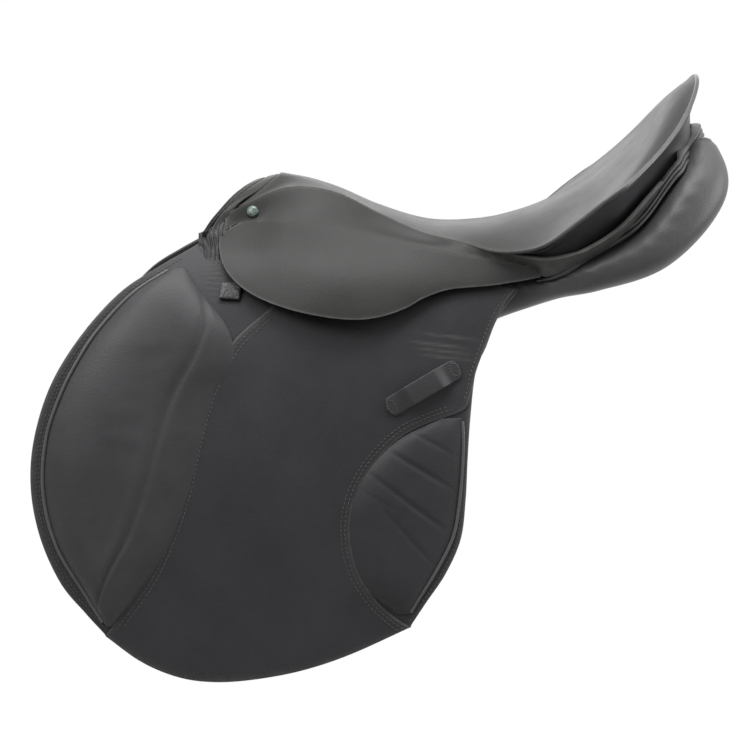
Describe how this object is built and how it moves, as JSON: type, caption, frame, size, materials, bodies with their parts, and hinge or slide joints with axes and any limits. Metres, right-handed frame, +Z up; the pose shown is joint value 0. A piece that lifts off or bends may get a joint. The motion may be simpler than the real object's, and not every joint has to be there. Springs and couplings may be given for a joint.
{
  "type": "jumping saddle",
  "caption": "Black leather jumping saddle with forward-cut padded flaps, deep seat, lifting skirts over stirrup bars and flocked panels",
  "frame": {"origin": "in the mid-plane at the gullet's roof, 45 mm under the lowest point of the seat", "axes": "+X to the cantle, -Y to the near (left) side, +Z up"},
  "size_m": [0.6064, 0.3764, 0.5153],
  "materials": {
    "seat_leather": "satin, worn",
    "black_leather": "satin",
    "pad_leather": "satin, soft grain",
    "panel_leather": "matte",
    "beech_ply": "raw laminated",
    "wool_flock": "loose wool and foam",
    "webbing": "woven",
    "nickel_nail": "tarnished nickel",
    "bar_steel": "forged, plated"
  },
  "bodies": {
    "saddle": {"seat_cover": "seat_leather", "seat_foam": "wool_flock", "seat_webs": "webbing", "tree": "beech_ply", "head_arch": "bar_steel", "spring_steels": "bar_steel", "gullet_strip": "panel_leather", "pommel_facing": "black_leather", "cantle_gusset": "black_leather", "panel_welt": "black_leather", "pommel_nails": "nickel_nail", "skirt_band_left": "black_leather", "skirt_band_right": "black_leather", "sweat_flap_left": "panel_leather", "sweat_flap_right": "panel_leather", "panel_left": "panel_leather", "panel_right": "panel_leather", "flocking_left": "wool_flock", "flocking_right": "wool_flock", "bar_block_left": "beech_ply", "bar_block_right": "beech_ply", "stirrup_bar_left": "bar_steel", "stirrup_bar_right": "bar_steel", "bar_rivets_left": "bar_steel", "bar_rivets_right": "bar_steel", "catch_pin_left": "bar_steel", "catch_pin_right": "bar_steel", "girth_web_front": "webbing", "girth_web_middle": "webbing", "girth_web_rear": "webbing"},
    "hung_flap_left": {"flap_left": "black_leather", "knee_pad_left": "pad_leather", "calf_pad_left": "pad_leather", "keeper_left": "black_leather", "front_tab_left": "black_leather"},
    "lifting_skirt_left": {"skirt_left": "black_leather"},
    "catch_left": {"bar_catch_left": "bar_steel"},
    "strap_front_left": {"girth_strap_front_left": "black_leather"},
    "strap_middle_left": {"girth_strap_middle_left": "black_leather"},
    "strap_rear_left": {"girth_strap_rear_left": "black_leather"},
    "hung_flap_right": {"flap_right": "black_leather", "knee_pad_right": "pad_leather", "calf_pad_right": "pad_leather", "keeper_right": "black_leather", "front_tab_right": "black_leather"},
    "lifting_skirt_right": {"skirt_right": "black_leather"},
    "catch_right": {"bar_catch_right": "bar_steel"},
    "strap_front_right": {"girth_strap_front_right": "black_leather"},
    "strap_middle_right": {"girth_strap_middle_right": "black_leather"},
    "strap_rear_right": {"girth_strap_rear_right": "black_leather"}
  },
  "joints": [
    {"name": "flap_lift_left", "type": "hinge", "parent": "saddle", "child": "hung_flap_left", "pos_m": [0, -0.098, 0.0235], "axis": [-0.9669, 0.2156, 0.1363], "range_deg": [0, 55]},
    {"name": "skirt_lift_left", "type": "hinge", "parent": "hung_flap_left", "child": "lifting_skirt_left", "pos_m": [0, -0.098, 0.0235], "axis": [-0.9669, 0.2156, 0.1363], "range_deg": [0, 32]},
    {"name": "catch_hinge_left", "type": "hinge", "parent": "saddle", "child": "catch_left", "pos_m": [-0.09601, -0.101, -0.004], "axis": [0, -1, 0], "range_deg": [0, 30]},
    {"name": "strap_swing_front_left", "type": "hinge", "parent": "saddle", "child": "strap_front_left", "pos_m": [-0.06606, -0.12057, -0.05272], "axis": [0, -0.9851, 0.172], "range_deg": [-2.5, 2.5]},
    {"name": "strap_swing_middle_left", "type": "hinge", "parent": "saddle", "child": "strap_middle_left", "pos_m": [-0.04388, -0.12646, -0.0535], "axis": [0, -0.9856, 0.1688], "range_deg": [-2.5, 2.5]},
    {"name": "strap_swing_rear_left", "type": "hinge", "parent": "saddle", "child": "strap_rear_left", "pos_m": [-0.02171, -0.12238, -0.0582], "axis": [0, -0.9862, 0.1654], "range_deg": [-2.5, 2.5]},
    {"name": "flap_lift_right", "type": "hinge", "parent": "saddle", "child": "hung_flap_right", "pos_m": [0, 0.098, 0.0235], "axis": [0.9669, 0.2156, -0.1363], "range_deg": [0, 55]},
    {"name": "skirt_lift_right", "type": "hinge", "parent": "hung_flap_right", "child": "lifting_skirt_right", "pos_m": [0, 0.098, 0.0235], "axis": [0.9669, 0.2156, -0.1363], "range_deg": [0, 32]},
    {"name": "catch_hinge_right", "type": "hinge", "parent": "saddle", "child": "catch_right", "pos_m": [-0.09601, 0.101, -0.004], "axis": [0, -1, 0], "range_deg": [0, 30]},
    {"name": "strap_swing_front_right", "type": "hinge", "parent": "saddle", "child": "strap_front_right", "pos_m": [-0.06606, 0.12057, -0.05272], "axis": [0, 0.9851, 0.172], "range_deg": [-2.5, 2.5]},
    {"name": "strap_swing_middle_right", "type": "hinge", "parent": "saddle", "child": "strap_middle_right", "pos_m": [-0.04388, 0.12646, -0.0535], "axis": [0, 0.9856, 0.1688], "range_deg": [-2.5, 2.5]},
    {"name": "strap_swing_rear_right", "type": "hinge", "parent": "saddle", "child": "strap_rear_right", "pos_m": [-0.02171, 0.12238, -0.0582], "axis": [0, 0.9862, 0.1654], "range_deg": [-2.5, 2.5]}
  ]
}
